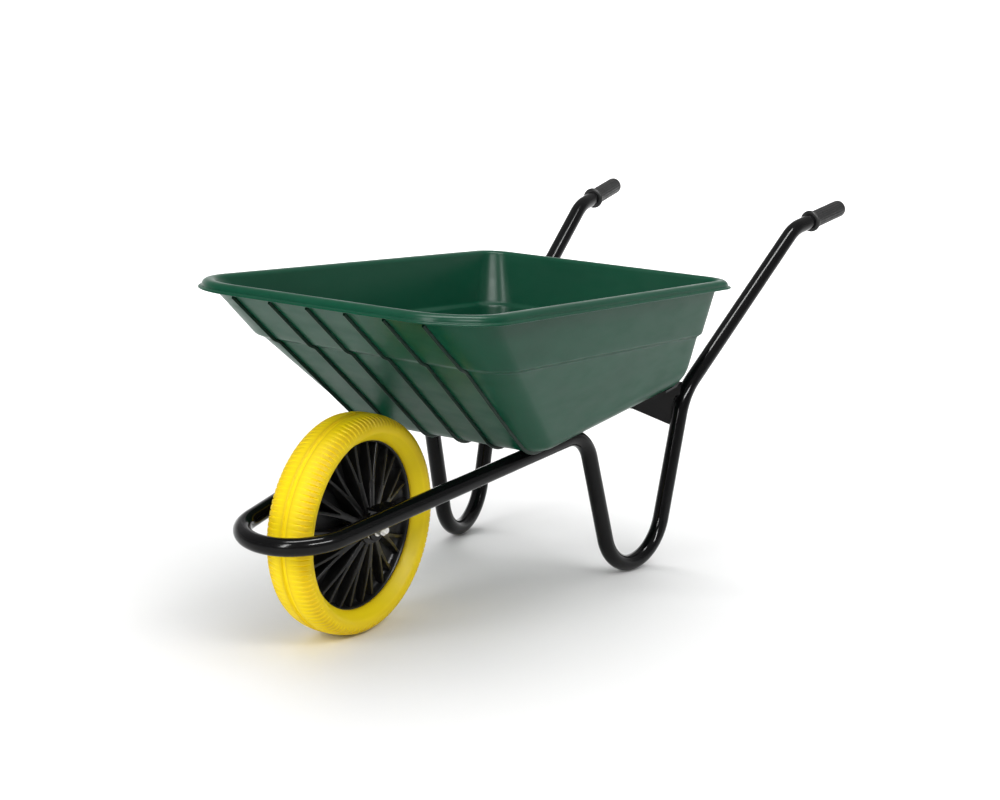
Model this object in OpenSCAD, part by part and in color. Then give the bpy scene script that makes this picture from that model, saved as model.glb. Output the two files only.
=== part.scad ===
// Garden and builder's wheelbarrow: one bent tube frame on two leg loops,
// a single front wheel with a solid tyre, and a bolted moulded tray.
// X runs forward from the grips to the wheel, Y to the left, Z up.
// The origin is on the ground, midway between the grip ends and the nose.

/* [Frame tube] */
// Outside diameter of the frame tube
tube_d = 28.6; // [25:0.1:32]
// Wall thickness of the frame tube
tube_wall = 1.6; // [1.2:0.1:2.5]
// Bend radius of the nose loop in front of the wheel
nose_bend_r = 87; // [80:1:92]
// Bend radius at the top of each front leg
leg_top_bend_r = 65; // [50:1:75]
// Bend radius of each leg loop on the ground
foot_bend_r = 87; // [75:1:92]
// Bend radius where each rear leg turns into the handle
handle_bend_r = 100; // [80:1:120]
// Bend radius where each handle turns into the grip end
grip_bend_r = 90; // [70:1:110]

/* [Wheel] */
// Outside diameter of the tyre
tyre_d = 355; // [345:1:358]
// Width of the tyre across the shoulders
tyre_w = 82; // [76:1:84]
// Diameter of the rim seat that carries the tyre
rim_seat_d = 278; // [270:1:280]
// Number of ribs on each face of the rim
rim_ribs = 14; // [10:1:18]

/* [Axle] */
// Thread size of the axle bolt
axle_bolt_d = 12; // [10:1:13]
// Outside diameter of the axle tube that the wheel turns on
axle_tube_d = 18; // [16:0.5:20]
// Radial clearance between the bushes and the axle tube
axle_clearance = 0.05; // [0.02:0.01:0.1]
// Sheet thickness of the axle brackets
bracket_t = 4; // [3:0.5:4.5]

/* [Tray] */
// Wall thickness of the moulded tray
tray_wall = 4; // [3:0.5:5]
// Height of the rolled rim above its flange
rim_h = 14; // [12:1:17]
// Width that the rolled rim stands out from the wall
rim_out = 24; // [20:1:26]
// Size of the thread that holds the tray down
tray_bolt_d = 8; // [6:1:9]

/* [Grips] */
// Outside diameter of the grip sleeve
grip_d = 33; // [32:0.5:36]
// Length of the grip, collar included
grip_len = 116; // [100:1:125]
// Diameter of the collar at the inner end of the grip
collar_d = 42; // [40:1:50]

/* [Colours] */
// Frame paint
frame_colour = "#0d0d10"; // [#0d0d10:Black, #1f3d2a:Green, #7a1414:Red]
// Tray plastic
tray_colour = "#0d4a36"; // [#0d4a36:Green, #1a1a1a:Black, #8a2b16:Red]
// Tyre foam
tyre_colour = "#f5d000"; // [#f5d000:Yellow, #1a1a1a:Black]

/* [Hidden] */
$fn = 64;

// ---- frame centreline -------------------------------------------------
// Lengthways places are given from the axle: forward is positive.
tube_r = tube_d / 2;
bore_r = tube_r - tube_wall;
wheel_x = 517;
axle_z = tyre_d / 2;

function from_axle(x, y, z) = [wheel_x + x, y, z];

// Corner points of the left half of the centreline, before the bends.
grip_end = from_axle(-1264, 255.8, 612);
grip_corner = from_axle(-1095, 237.9, 582.9);
handle_corner = from_axle(-735.8, 202, 307.4);
leg_top_corner = from_axle(-448, 162, 277.5);
rail_point = from_axle(149, 86, 199);
foot_x = wheel_x - 604.7;
foot_centre_z = tube_r + foot_bend_r;
leg_toe = (handle_corner.y - leg_top_corner.y) / (leg_top_corner.x - handle_corner.x);

function leg_y(x) = leg_top_corner.y + leg_toe * (leg_top_corner.x - x);

// Each leg loop lies in an upright plane turned out by the toe of the legs.
toe_stretch = norm([1, leg_toe]);

// Where the lines that touch the foot circle from two points meet.
function touch_angle(p, side) =
  let (run_in = (foot_x - p.x) * toe_stretch, drop = foot_centre_z - p.z)
  atan2(drop, run_in) + side * asin(foot_bend_r / norm([run_in, drop]));

function foot_meet(p, q) =
  let (
    a = touch_angle(p, 1),
    b = touch_angle(q, -1),
    t = ((q.x - p.x) * toe_stretch * sin(b) - (q.z - p.z) * cos(b)) / sin(b - a),
    x = p.x + t * cos(a) / toe_stretch
  )
  [x, leg_y(x), p.z + t * sin(a)];

foot_corner = foot_meet(leg_top_corner, handle_corner);

// The two rails meet on the centre plane ahead of the nose loop.
rail_dir = rail_point - leg_top_corner;
nose_corner = leg_top_corner - rail_dir * (leg_top_corner.y / rail_dir.y);

function flip_y(p) = [p.x, -p.y, p.z];

half_path = [
  [grip_end, 0], [grip_corner, grip_bend_r], [handle_corner, handle_bend_r],
  [foot_corner, foot_bend_r], [leg_top_corner, leg_top_bend_r]
];
last_half = len(half_path) - 1;
path = concat(
  half_path,
  [[nose_corner, nose_bend_r]],
  [for (i = [last_half : -1 : 0]) [flip_y(half_path[i][0]), half_path[i][1]]]
);

function unit(v) = v / norm(v);

// Bend at one corner: [start, end, centre, turning angle].
function bend(a, b, c, r) =
  let (
    u = unit(a - b),
    w = unit(c - b),
    half = acos(u * w) / 2,
    reach = r / tan(half)
  )
  [b + u * reach, b + w * reach, b + unit(u + w) * r / sin(half), 180 - 2 * half];

bends = [
  for (i = [1 : len(path) - 2]) bend(path[i - 1][0], path[i][0], path[i + 1][0], path[i][1])
];

// ---- tube building blocks ---------------------------------------------
last_path = len(path) - 1;
handle_run = 1;
rear_leg_run = 2;
rail_run = 4;
handle_bend = 1;

// Straight stretch number i runs from the end of one bend to the next.
function run_start(i) = i == 0 ? path[0][0] : bends[i - 1][1];
function run_end(i) = i == last_path - 1 ? path[last_path][0] : bends[i][0];

module along(a, b) {
  d = unit(b - a);
  translate(a)
    rotate([0, acos(d.z), atan2(d.y, d.x)])
      children();
}

// Straight stretches reach a little way into the bends, which are a hair
// slimmer, so that neighbouring stretches always join.
join_reach = 0.5;
bend_slim = 0.1;

module run(i, r, reach_start, reach_end) {
  a = run_start(i);
  b = run_end(i);
  along(a, b)
    translate([0, 0, -reach_start])
      cylinder(r = r, h = norm(b - a) + reach_start + reach_end);
}

module turn(i, r) {
  start = bends[i][0];
  centre = bends[i][2];
  u = unit(start - centre);
  n = unit(cross(u, bends[i][1] - centre));
  w = cross(n, u);
  multmatrix([
    [u.x, w.x, n.x, centre.x],
    [u.y, w.y, n.y, centre.y],
    [u.z, w.z, n.z, centre.z]
  ])
    rotate_extrude(angle = bends[i][3])
      translate([norm(start - centre), 0])
        circle(r = r - bend_slim);
}

module whole_run(r, end_reach) {
  for (i = [0 : last_path - 1])
    run(
      i, r,
      i == 0 ? end_reach : join_reach,
      i == last_path - 1 ? end_reach : join_reach
    );
  for (i = [0 : len(bends) - 1])
    turn(i, r);
}

module both_sides() {
  children();
  mirror([0, 1, 0]) children();
}

module main_frame_tube() {
  color(frame_colour)
    difference() {
      whole_run(tube_r, 0);
      whole_run(bore_r, 1);
    }
}

// ---- tray floor plane -------------------------------------------------
rail_fall = (leg_top_corner.z - rail_point.z) / (rail_point.x - leg_top_corner.x);
floor_tilt = atan(rail_fall);
seat_gap = 0.05;
floor_lift = tube_r / cos(floor_tilt) + seat_gap;

function floor_z(x) = leg_top_corner.z + floor_lift - rail_fall * (x - leg_top_corner.x);

// Puts children on the underside of the tray floor, local Z square to it.
module on_floor(x, y) {
  translate([x, y, floor_z(x)])
    rotate([0, floor_tilt, 0])
      children();
}

front_bolt_x = wheel_x - 335;
rear_bolt_x = wheel_x - 681;
front_bolt_y = 118;
rear_bolt_y = 120;

module at_tray_bolts() {
  for (side = [-1, 1]) {
    on_floor(front_bolt_x, side * front_bolt_y) children();
    on_floor(rear_bolt_x, side * rear_bolt_y) children();
  }
}

// ---- rear cross member ------------------------------------------------
cross_t = 4;
cross_x = wheel_x - 728;
cross_low_z = 243;
cross_mid_z = 265;
cross_taper_y = 105;
cross_flange_w = 62;
weld_gap = 0.1;
tray_hole_r = tray_bolt_d / 2 + 0.4;

module leg_top_space() {
  both_sides() {
    run(rear_leg_run, tube_r + weld_gap, 0, 0);
    turn(handle_bend, tube_r + weld_gap + bend_slim);
    run(handle_run, tube_r + weld_gap, 0, 0);
  }
}

module rear_cross_member() {
  half_y = leg_y(cross_x);
  top_z = floor_z(cross_x) - seat_gap;
  color(frame_colour)
    difference() {
      union() {
        translate([cross_x - cross_t / 2, 0, 0])
          rotate([90, 0, 90])
            linear_extrude(height = cross_t)
              polygon([
                [-half_y, cross_low_z], [-cross_taper_y, cross_mid_z],
                [cross_taper_y, cross_mid_z], [half_y, cross_low_z],
                [half_y, top_z - cross_t / 2], [-half_y, top_z - cross_t / 2]
              ]);
        on_floor(cross_x, 0)
          translate([-cross_t / 2, -half_y, -cross_t - seat_gap])
            cube([cross_flange_w, 2 * half_y, cross_t]);
      }
      leg_top_space();
      for (side = [-1, 1])
        on_floor(rear_bolt_x, side * rear_bolt_y)
          cylinder(r = tray_hole_r, h = 4 * cross_t, center = true);
    }
}

// ---- front tray lugs --------------------------------------------------
lug_len = 44;
lug_t = 4;
lug_inner_y = 100;

module front_tray_lugs() {
  color(frame_colour)
    both_sides()
      difference() {
        on_floor(front_bolt_x, lug_inner_y)
          translate([-lug_len / 2, 0, -lug_t - seat_gap])
            cube([lug_len, leg_y(front_bolt_x) - lug_inner_y - 4, lug_t]);
        run(rail_run, tube_r + weld_gap, 0, 0);
        on_floor(front_bolt_x, front_bolt_y)
          cylinder(r = tray_hole_r, h = 4 * lug_t, center = true);
      }
}

// ---- axle brackets ----------------------------------------------------
bracket_y = 46;
bracket_w = 52;
bracket_low = 20;
bracket_flange_z = 216;
bracket_hole_r = axle_bolt_d / 2 + 0.25;

module left_bracket_shape() {
  half_w = bracket_w / 2;
  difference() {
    union() {
      translate([wheel_x, bracket_y, axle_z])
        rotate([-90, 0, 0]) {
          cylinder(r = bracket_low, h = bracket_t);
        }
      translate([wheel_x - bracket_low, bracket_y, axle_z])
        cube([2 * bracket_low, bracket_t, bracket_flange_z - axle_z]);
      translate([wheel_x - half_w, bracket_y, bracket_flange_z - 2 * bracket_t])
        cube([bracket_w, bracket_t, 2 * bracket_t]);
      translate([wheel_x - half_w, bracket_y, bracket_flange_z - bracket_t])
        cube([bracket_w, rail_inner_y - bracket_y, bracket_t]);
    }
    translate([wheel_x, bracket_y - 1, axle_z])
      rotate([-90, 0, 0])
        cylinder(r = bracket_hole_r, h = bracket_t + 2);
    run(rail_run, tube_r + weld_gap, 0, 0);
  }
}

rail_toe = (leg_top_corner.y - rail_point.y) / (rail_point.x - leg_top_corner.x);
rail_inner_y = rail_point.y + rail_toe * (rail_point.x - wheel_x) - tube_r / 2;

module left_axle_bracket() {
  color(frame_colour) left_bracket_shape();
}

module right_axle_bracket() {
  color(frame_colour) mirror([0, 1, 0]) left_bracket_shape();
}

// ---- axle -------------------------------------------------------------
fit_gap = 0.05;
bracket_outer_y = bracket_y + bracket_t;
washer_t = 2.5;
washer_r = 12;
thrust_t = 2;
bolt_head_h = 7.5;
bolt_head_af = 18;
nut_h = 10.8;
thread_end = 5;
tube_bore_r = axle_bolt_d / 2 + 0.2;
axle_tube_r = axle_tube_d / 2;
nut_y = bracket_outer_y + washer_t + 2 * fit_gap;

module at_axle(y) {
  translate([wheel_x, y, axle_z])
    rotate([-90, 0, 0])
      children();
}

module hexagon(across_flats, h) {
  cylinder(d = across_flats / cos(30), h = h, $fn = 6);
}

module axle_bolt() {
  color("#c9ccd0") {
    at_axle(-nut_y)
      cylinder(d = axle_bolt_d, h = 2 * nut_y + nut_h + thread_end);
    at_axle(-nut_y - bolt_head_h)
      hexagon(bolt_head_af, bolt_head_h);
  }
}

module axle_nut() {
  color("#d6d8da")
    at_axle(nut_y)
      difference() {
        hexagon(bolt_head_af, nut_h);
        translate([0, 0, -1])
          cylinder(d = axle_bolt_d + 2 * fit_gap, h = nut_h + 2);
      }
}

module washer_ring(outer_r, inner_r, t) {
  difference() {
    cylinder(r = outer_r, h = t);
    translate([0, 0, -1])
      cylinder(r = inner_r, h = t + 2);
  }
}

module axle_washers() {
  color("#c9ccd0")
    both_sides()
      at_axle(bracket_outer_y + fit_gap)
        washer_ring(washer_r, tube_bore_r, washer_t);
}

module axle_tube() {
  color("#9a9ea3")
    at_axle(-bracket_y + fit_gap)
      washer_ring(axle_tube_r, tube_bore_r, 2 * (bracket_y - fit_gap));
}

thrust_outer_y = bracket_y - 0.3;

module thrust_washers() {
  color("#c9ccd0")
    both_sides()
      at_axle(thrust_outer_y - thrust_t)
        washer_ring(15, axle_tube_r + axle_clearance, thrust_t);
}

// ---- wheel ------------------------------------------------------------
hub_half = 40;
hub_r = 27;
bush_r = 14;
bush_len = 24;
bush_flange_r = 18;
bush_flange_t = 3;
web_half = 2.5;
bed_half = 15;
bed_wall = 3;
flange_half = 18;
rim_seat_r = rim_seat_d / 2;
bed_r = rim_seat_r - 3;
rib_t = 4;
rib_hub_y = 36;
rib_rim_y = 14;

module spun() {
  at_axle(0)
    rotate_extrude()
      children();
}

module wheel_bush_shape() {
  at_axle(hub_half - bush_len)
    washer_ring(bush_r, axle_tube_r + axle_clearance, bush_len + fit_gap);
  at_axle(hub_half + fit_gap)
    washer_ring(bush_flange_r, axle_tube_r + axle_clearance, bush_flange_t);
}

module left_wheel_bush() {
  color("#e8e6df") wheel_bush_shape();
}

module right_wheel_bush() {
  color("#e8e6df") mirror([0, 1, 0]) wheel_bush_shape();
}

inner_bed_r = bed_r - bed_wall;

module wheel_rim() {
  bore = bush_r + fit_gap;
  color("#141416")
    spun() {
      translate([bore, -hub_half])
        square([hub_r - bore, 2 * hub_half]);
      translate([hub_r - 1, -web_half])
        square([inner_bed_r - hub_r + 2, 2 * web_half]);
      polygon([
        [inner_bed_r, -bed_half], [rim_seat_r - bed_wall, -flange_half],
        [rim_seat_r, -flange_half], [bed_r, -bed_half + bed_wall / 2],
        [bed_r, bed_half - bed_wall / 2], [rim_seat_r, flange_half],
        [rim_seat_r - bed_wall, flange_half], [inner_bed_r, bed_half]
      ]);
    }
}

// The ribs on both faces of the web, from the hub out to the bed.
module left_wheel_ribs() {
  for (i = [0 : rim_ribs - 1])
    translate([wheel_x, 0, axle_z])
      rotate([0, 360 * i / rim_ribs, 0])
        translate([0, 0, -rib_t / 2])
          linear_extrude(height = rib_t)
            polygon([
              [hub_r + fit_gap, web_half + fit_gap],
              [inner_bed_r - fit_gap, web_half + fit_gap],
              [inner_bed_r - fit_gap, rib_rim_y],
              [hub_r + fit_gap, rib_hub_y]
            ]);
}

module wheel_ribs() {
  color("#141416")
    both_sides()
      left_wheel_ribs();
}

tyre_r = tyre_d / 2;
tyre_half = tyre_w / 2;
tread_drop = 4;
groove_half = 2.5;
groove_deep = 3;

// Right half of the tyre section, from the middle of the tread to the seat.
tyre_edge = [
  [tyre_r - groove_deep, 0], [tyre_r - groove_deep, groove_half],
  [tyre_r, groove_half + 1], [tyre_r - 1, tyre_half * 0.45],
  [tyre_r - tread_drop, tyre_half * 0.78], [tyre_r - 9, tyre_half * 0.93],
  [tyre_r - 17, tyre_half], [tyre_r - 27, tyre_half * 0.93],
  [rim_seat_r + 3, tyre_half * 0.72], [rim_seat_r - bed_wall, flange_half + 3],
  [rim_seat_r - bed_wall, flange_half + fit_gap],
  [rim_seat_r + fit_gap, flange_half + fit_gap],
  [bed_r + fit_gap, bed_half - bed_wall / 2]
];
tyre_last = len(tyre_edge) - 1;

module tyre() {
  color(tyre_colour)
    spun()
      polygon(concat(
        tyre_edge,
        [for (i = [tyre_last : -1 : 1]) [tyre_edge[i].x, -tyre_edge[i].y]]
      ));
}

// ---- tray -------------------------------------------------------------
// A level is a rounded four-sided ring: front and rear places, half widths,
// corner radii and heights. Each level lies in its own tilted plane.
corner_steps = 10;

function lerp(a, b, t) = a + (b - a) * t;

// Level fields: [front x, rear x, front half width, rear half width,
//                front corner r, rear corner r, front z, rear z]
rim_level = [
  wheel_x + 120, wheel_x - 803, 285.5, 274.5, 118, 62, 537, 504
];
wall_top_level = [
  wheel_x + 93, wheel_x - 781, 263, 251, 92, 50, 536.5, 503.5
];
step_high_level = [
  wheel_x - 22.5, wheel_x - 763, 252, 239, 60, 54, 449, 421
];
step_low_level = [
  wheel_x - 37.5, wheel_x - 755, 244, 232, 54, 50, 443.5, 415
];
// Where the walls end and the rounding down to the floor begins: heights
// above the floor at the front and at the rear.
front_low_h = 22;
rear_low_h = 38;
wall_low_front = wheel_x - 237;
wall_low_rear = wheel_x - 746;
wall_low_level = [
  wall_low_front, wall_low_rear, 196, 224, 44, 46,
  floor_z(wall_low_front) + front_low_h, floor_z(wall_low_rear) + rear_low_h
];

// Rounding below wall_low_level, from the floor up: how far each step is
// pulled in at the front, the sides and the rear, and its share of the height.
rounding = [
  [57, 31, 46, 0], [44, 22, 34, 0.036], [31, 14, 23, 0.173],
  [19, 7, 13, 0.409], [9, 2.5, 5, 0.682]
];
least_corner_r = 12;

function rounded(i, d, up) =
  let (
    r = rounding[i],
    q = wall_low_level,
    front_x = q[0] - r[0] - d,
    rear_x = q[1] + r[2] + d,
    tighter = r[1] * 0.7 + d
  )
  [
    front_x, rear_x, q[2] - r[1] - d, q[3] - r[1] - d,
    max(q[4] - tighter, least_corner_r), max(q[5] - tighter, least_corner_r),
    floor_z(front_x) + front_low_h * r[3] + up,
    floor_z(rear_x) + rear_low_h * r[3] + up
  ];

function inset(q, d, dz) = [
  q[0] - d, q[1] + d, q[2] - d, q[3] - d,
  max(q[4] - d, 3), max(q[5] - d, 3), q[6] + dz, q[7] + dz
];

function level_half(q, x) = lerp(q[2], q[3], (q[0] - x) / (q[0] - q[1]));
function level_z(q, x) = lerp(q[6], q[7], (q[0] - x) / (q[0] - q[1]));

// One corner of a level; turn runs from 0 at the nose to 90 at the side.
function corner_point(q, r, end_x, toward, turn, side) =
  let (
    x = end_x - toward * r * (1 - cos(turn)),
    y = level_half(q, x) - r * (1 - sin(turn))
  )
  [x, side * y, level_z(q, x)];

function ring(q) = concat(
  [for (i = [0 : corner_steps])
    corner_point(q, q[4], q[0], 1, 90 * i / corner_steps, 1)],
  [for (i = [corner_steps : -1 : 0])
    corner_point(q, q[5], q[1], -1, 90 * i / corner_steps, 1)],
  [for (i = [0 : corner_steps])
    corner_point(q, q[5], q[1], -1, 90 * i / corner_steps, -1)],
  [for (i = [corner_steps : -1 : 0])
    corner_point(q, q[4], q[0], 1, 90 * i / corner_steps, -1)]
);

// How far the inside face sits in and up from the outside, along the rounding.
inner_in = [0.2, 0.35, 0.55, 0.75, 0.9];
inner_up = [tray_wall, tray_wall * 0.97, tray_wall * 0.85, tray_wall * 0.7, tray_wall * 0.5];

// The rim is a thin flange, a small groove and a sloped roll above a channel.
flange_t = 3;
flange_drop = 1;
groove_h = 3.5;
channel_h = rim_h - 4.5;

// From the middle of the floor outside, up over the rim, to the floor inside.
tray_levels = [
  each [for (i = [0 : len(rounding) - 1]) rounded(i, 0, 0)],
  wall_low_level,
  step_low_level,
  step_high_level,
  wall_top_level,
  inset(rim_level, rim_out, channel_h),
  inset(rim_level, 14, channel_h),
  inset(rim_level, 9, groove_h),
  inset(rim_level, flange_t, -flange_drop),
  inset(rim_level, 0, -flange_drop),
  inset(rim_level, 0, 1.5),
  inset(rim_level, 5, groove_h),
  inset(rim_level, 5.5, 5),
  inset(rim_level, 7.5, channel_h),
  inset(rim_level, 12, rim_h - 1),
  inset(rim_level, 18, rim_h),
  inset(rim_level, rim_out, rim_h - 1),
  inset(rim_level, rim_out + tray_wall, rim_h - 6.5),
  inset(step_high_level, tray_wall, 3),
  inset(step_low_level, tray_wall, 3),
  inset(wall_low_level, tray_wall, 1.5),
  each [for (i = [len(rounding) - 1 : -1 : 0]) rounded(i, tray_wall * inner_in[i], inner_up[i])]
];
ring_size = 4 * (corner_steps + 1);
level_count = len(tray_levels);

function floor_middle(q) = [
  (q[0] + q[1]) / 2, 0, (q[6] + q[7]) / 2
];

tray_points = concat(
  [for (q = tray_levels) each ring(q)],
  [floor_middle(tray_levels[0]), floor_middle(tray_levels[level_count - 1])]
);
low_middle = level_count * ring_size;
high_middle = low_middle + 1;

function next_on_ring(i) = (i + 1) % ring_size;

tray_faces = concat(
  [for (k = [0 : level_count - 2], i = [0 : ring_size - 1])
    [k * ring_size + i, (k + 1) * ring_size + i, (k + 1) * ring_size + next_on_ring(i)]],
  [for (k = [0 : level_count - 2], i = [0 : ring_size - 1])
    [k * ring_size + i, (k + 1) * ring_size + next_on_ring(i), k * ring_size + next_on_ring(i)]],
  [for (i = [0 : ring_size - 1]) [low_middle, i, next_on_ring(i)]],
  [for (i = [0 : ring_size - 1])
    [high_middle, (level_count - 1) * ring_size + next_on_ring(i), (level_count - 1) * ring_size + i]]
);

module tray() {
  color(tray_colour)
    difference() {
      polyhedron(points = tray_points, faces = tray_faces, convexity = 8);
      at_tray_bolts()
        cylinder(r = tray_hole_r, h = 6 * tray_wall, center = true);
    }
}

// ---- tray fixings -----------------------------------------------------
load_washer_r = 15;
load_washer_t = 2;
tray_bolt_r = tray_bolt_d / 2;
cup_r = 10;
cup_h = 4.5;
lock_washer_t = 1.8;
tray_nut_h = 6.5;
tray_nut_af = 13;
load_washer_z = tray_wall + fit_gap;
cup_z = load_washer_z + load_washer_t + fit_gap;
lock_washer_z = -cross_t - seat_gap - fit_gap - lock_washer_t;
tray_nut_z = lock_washer_z - fit_gap - tray_nut_h;
tray_bolt_low = tray_nut_z - 3;

module tray_bolts() {
  color("#c9ccd0")
    at_tray_bolts() {
      translate([0, 0, tray_bolt_low])
        cylinder(r = tray_bolt_r, h = cup_z - tray_bolt_low);
      translate([0, 0, cup_z])
        cylinder(r1 = cup_r, r2 = cup_r * 0.55, h = cup_h);
    }
}

module tray_load_washers() {
  color("#c9ccd0")
    at_tray_bolts()
      translate([0, 0, load_washer_z])
        washer_ring(load_washer_r, tray_bolt_r + 0.2, load_washer_t);
}

module tray_lock_washers() {
  color("#c9ccd0")
    at_tray_bolts()
      translate([0, 0, lock_washer_z])
        washer_ring(7.5, tray_bolt_r + 0.2, lock_washer_t);
}

module tray_nuts() {
  color("#c9ccd0")
    at_tray_bolts()
      translate([0, 0, tray_nut_z])
        difference() {
          hexagon(tray_nut_af, tray_nut_h);
          translate([0, 0, -1])
            cylinder(r = tray_bolt_r + fit_gap, h = tray_nut_h + 2);
        }
}

// ---- grips ------------------------------------------------------------
grip_cap = 4;
collar_t = 6;
grip_round = 5;
grip_r = grip_d / 2;

// Local Z points out of the grip; zero is at the closed outer end.
module left_grip_shape() {
  a = grip_corner;
  b = grip_end;
  d = unit(b - a);
  tip = b + d * (grip_cap + fit_gap);
  along(tip, tip + d)
    rotate_extrude()
      polygon([
        [0, 0], [grip_r - grip_round, 0], [grip_r - 1.4, -1.8],
        [grip_r, -grip_round], [grip_r, collar_t - grip_len],
        [collar_d / 2, collar_t - grip_len - 0.5], [collar_d / 2, 0.5 - grip_len],
        [collar_d / 2 - 1, -grip_len], [tube_r + fit_gap, -grip_len],
        [tube_r + fit_gap, -grip_cap], [0, -grip_cap]
      ]);
}

module left_grip() {
  color("#161618") left_grip_shape();
}

module right_grip() {
  color("#161618") mirror([0, 1, 0]) left_grip_shape();
}

main_frame_tube();
rear_cross_member();
front_tray_lugs();
left_axle_bracket();
right_axle_bracket();
axle_bolt();
axle_nut();
axle_washers();
axle_tube();
thrust_washers();
left_wheel_bush();
right_wheel_bush();
wheel_rim();
wheel_ribs();
tyre();
tray();
tray_bolts();
tray_load_washers();
tray_lock_washers();
tray_nuts();
left_grip();
right_grip();
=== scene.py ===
"""Looks of a garden and builder's wheelbarrow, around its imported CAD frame.

Everything is in metres in the CAD frame: X runs forward from the grips to the
wheel, Y to the left and Z up. The origin is on the ground under the tray.
"""

import math

import bpy
from mathutils import Matrix, Vector


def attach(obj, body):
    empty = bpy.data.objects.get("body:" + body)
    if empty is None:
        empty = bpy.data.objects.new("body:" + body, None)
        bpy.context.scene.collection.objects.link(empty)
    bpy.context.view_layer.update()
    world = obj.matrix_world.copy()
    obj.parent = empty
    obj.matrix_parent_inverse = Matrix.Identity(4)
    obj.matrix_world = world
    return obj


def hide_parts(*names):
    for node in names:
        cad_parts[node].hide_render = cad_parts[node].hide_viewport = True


UP = Vector((0, 0, 1))

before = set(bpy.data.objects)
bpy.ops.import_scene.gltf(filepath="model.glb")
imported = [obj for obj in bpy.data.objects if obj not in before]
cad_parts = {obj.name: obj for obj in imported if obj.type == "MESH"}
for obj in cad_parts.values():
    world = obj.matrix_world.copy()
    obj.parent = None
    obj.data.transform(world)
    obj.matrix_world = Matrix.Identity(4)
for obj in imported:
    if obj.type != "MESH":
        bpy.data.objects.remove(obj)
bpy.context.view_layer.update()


# ---- mesh building blocks ------------------------------------------------


def lerp(a, b, t):
    return a + (b - a) * t


def mesh_piece(name, verts, faces, finish, body, sharp=35):
    """A smooth-shaded mesh in the shared frame that rides on a body."""
    mesh = bpy.data.meshes.new(name)
    mesh.from_pydata([tuple(v) for v in verts], [], faces)
    mesh.validate()
    mesh.update()
    mesh.polygons.foreach_set("use_smooth", [True] * len(mesh.polygons))
    mesh.set_sharp_from_angle(angle=math.radians(sharp))
    piece = bpy.data.objects.new(name, mesh)
    bpy.context.scene.collection.objects.link(piece)
    mesh.materials.append(finish)
    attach(piece, body)
    return piece


class Shell:
    """Collects lofts and closed shapes into one list of verts and faces."""

    def __init__(self):
        self.verts = []
        self.faces = []

    def loft(self, rings, close_rows=False, cap_first=False, cap_last=False):
        """Quads between rings of equal length; each ring closes on itself."""
        base = len(self.verts)
        count = len(rings[0])
        for ring in rings:
            self.verts.extend(ring)
        rows = len(rings) if close_rows else len(rings) - 1
        for k in range(rows):
            low = base + k * count
            high = base + (k + 1) % len(rings) * count
            for i in range(count):
                j = (i + 1) % count
                self.faces.append((low + i, low + j, high + j, high + i))
        if cap_first:
            self.faces.append(tuple(base + i for i in reversed(range(count))))
        if cap_last:
            last = base + (len(rings) - 1) * count
            self.faces.append(tuple(last + i for i in range(count)))

    def piece(self, name, finish, body, sharp=35):
        return mesh_piece(name, self.verts, self.faces, finish, body, sharp)


def spline(values, steps):
    """Catmull-Rom through rows of numbers, with steps between each pair."""
    out = []
    last = len(values) - 1
    for i in range(last):
        p0 = values[max(i - 1, 0)]
        p1, p2 = values[i], values[i + 1]
        p3 = values[min(i + 2, last)]
        for s in range(steps):
            t = s / steps
            out.append(
                tuple(
                    0.5
                    * (
                        2 * b
                        + (c - a) * t
                        + (2 * a - 5 * b + 4 * c - d) * t * t
                        + (3 * b - a - 3 * c + d) * t**3
                    )
                    for a, b, c, d in zip(p0, p1, p2, p3)
                )
            )
    out.append(tuple(values[last]))
    return out


# ---- finishes ------------------------------------------------------------


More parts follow.
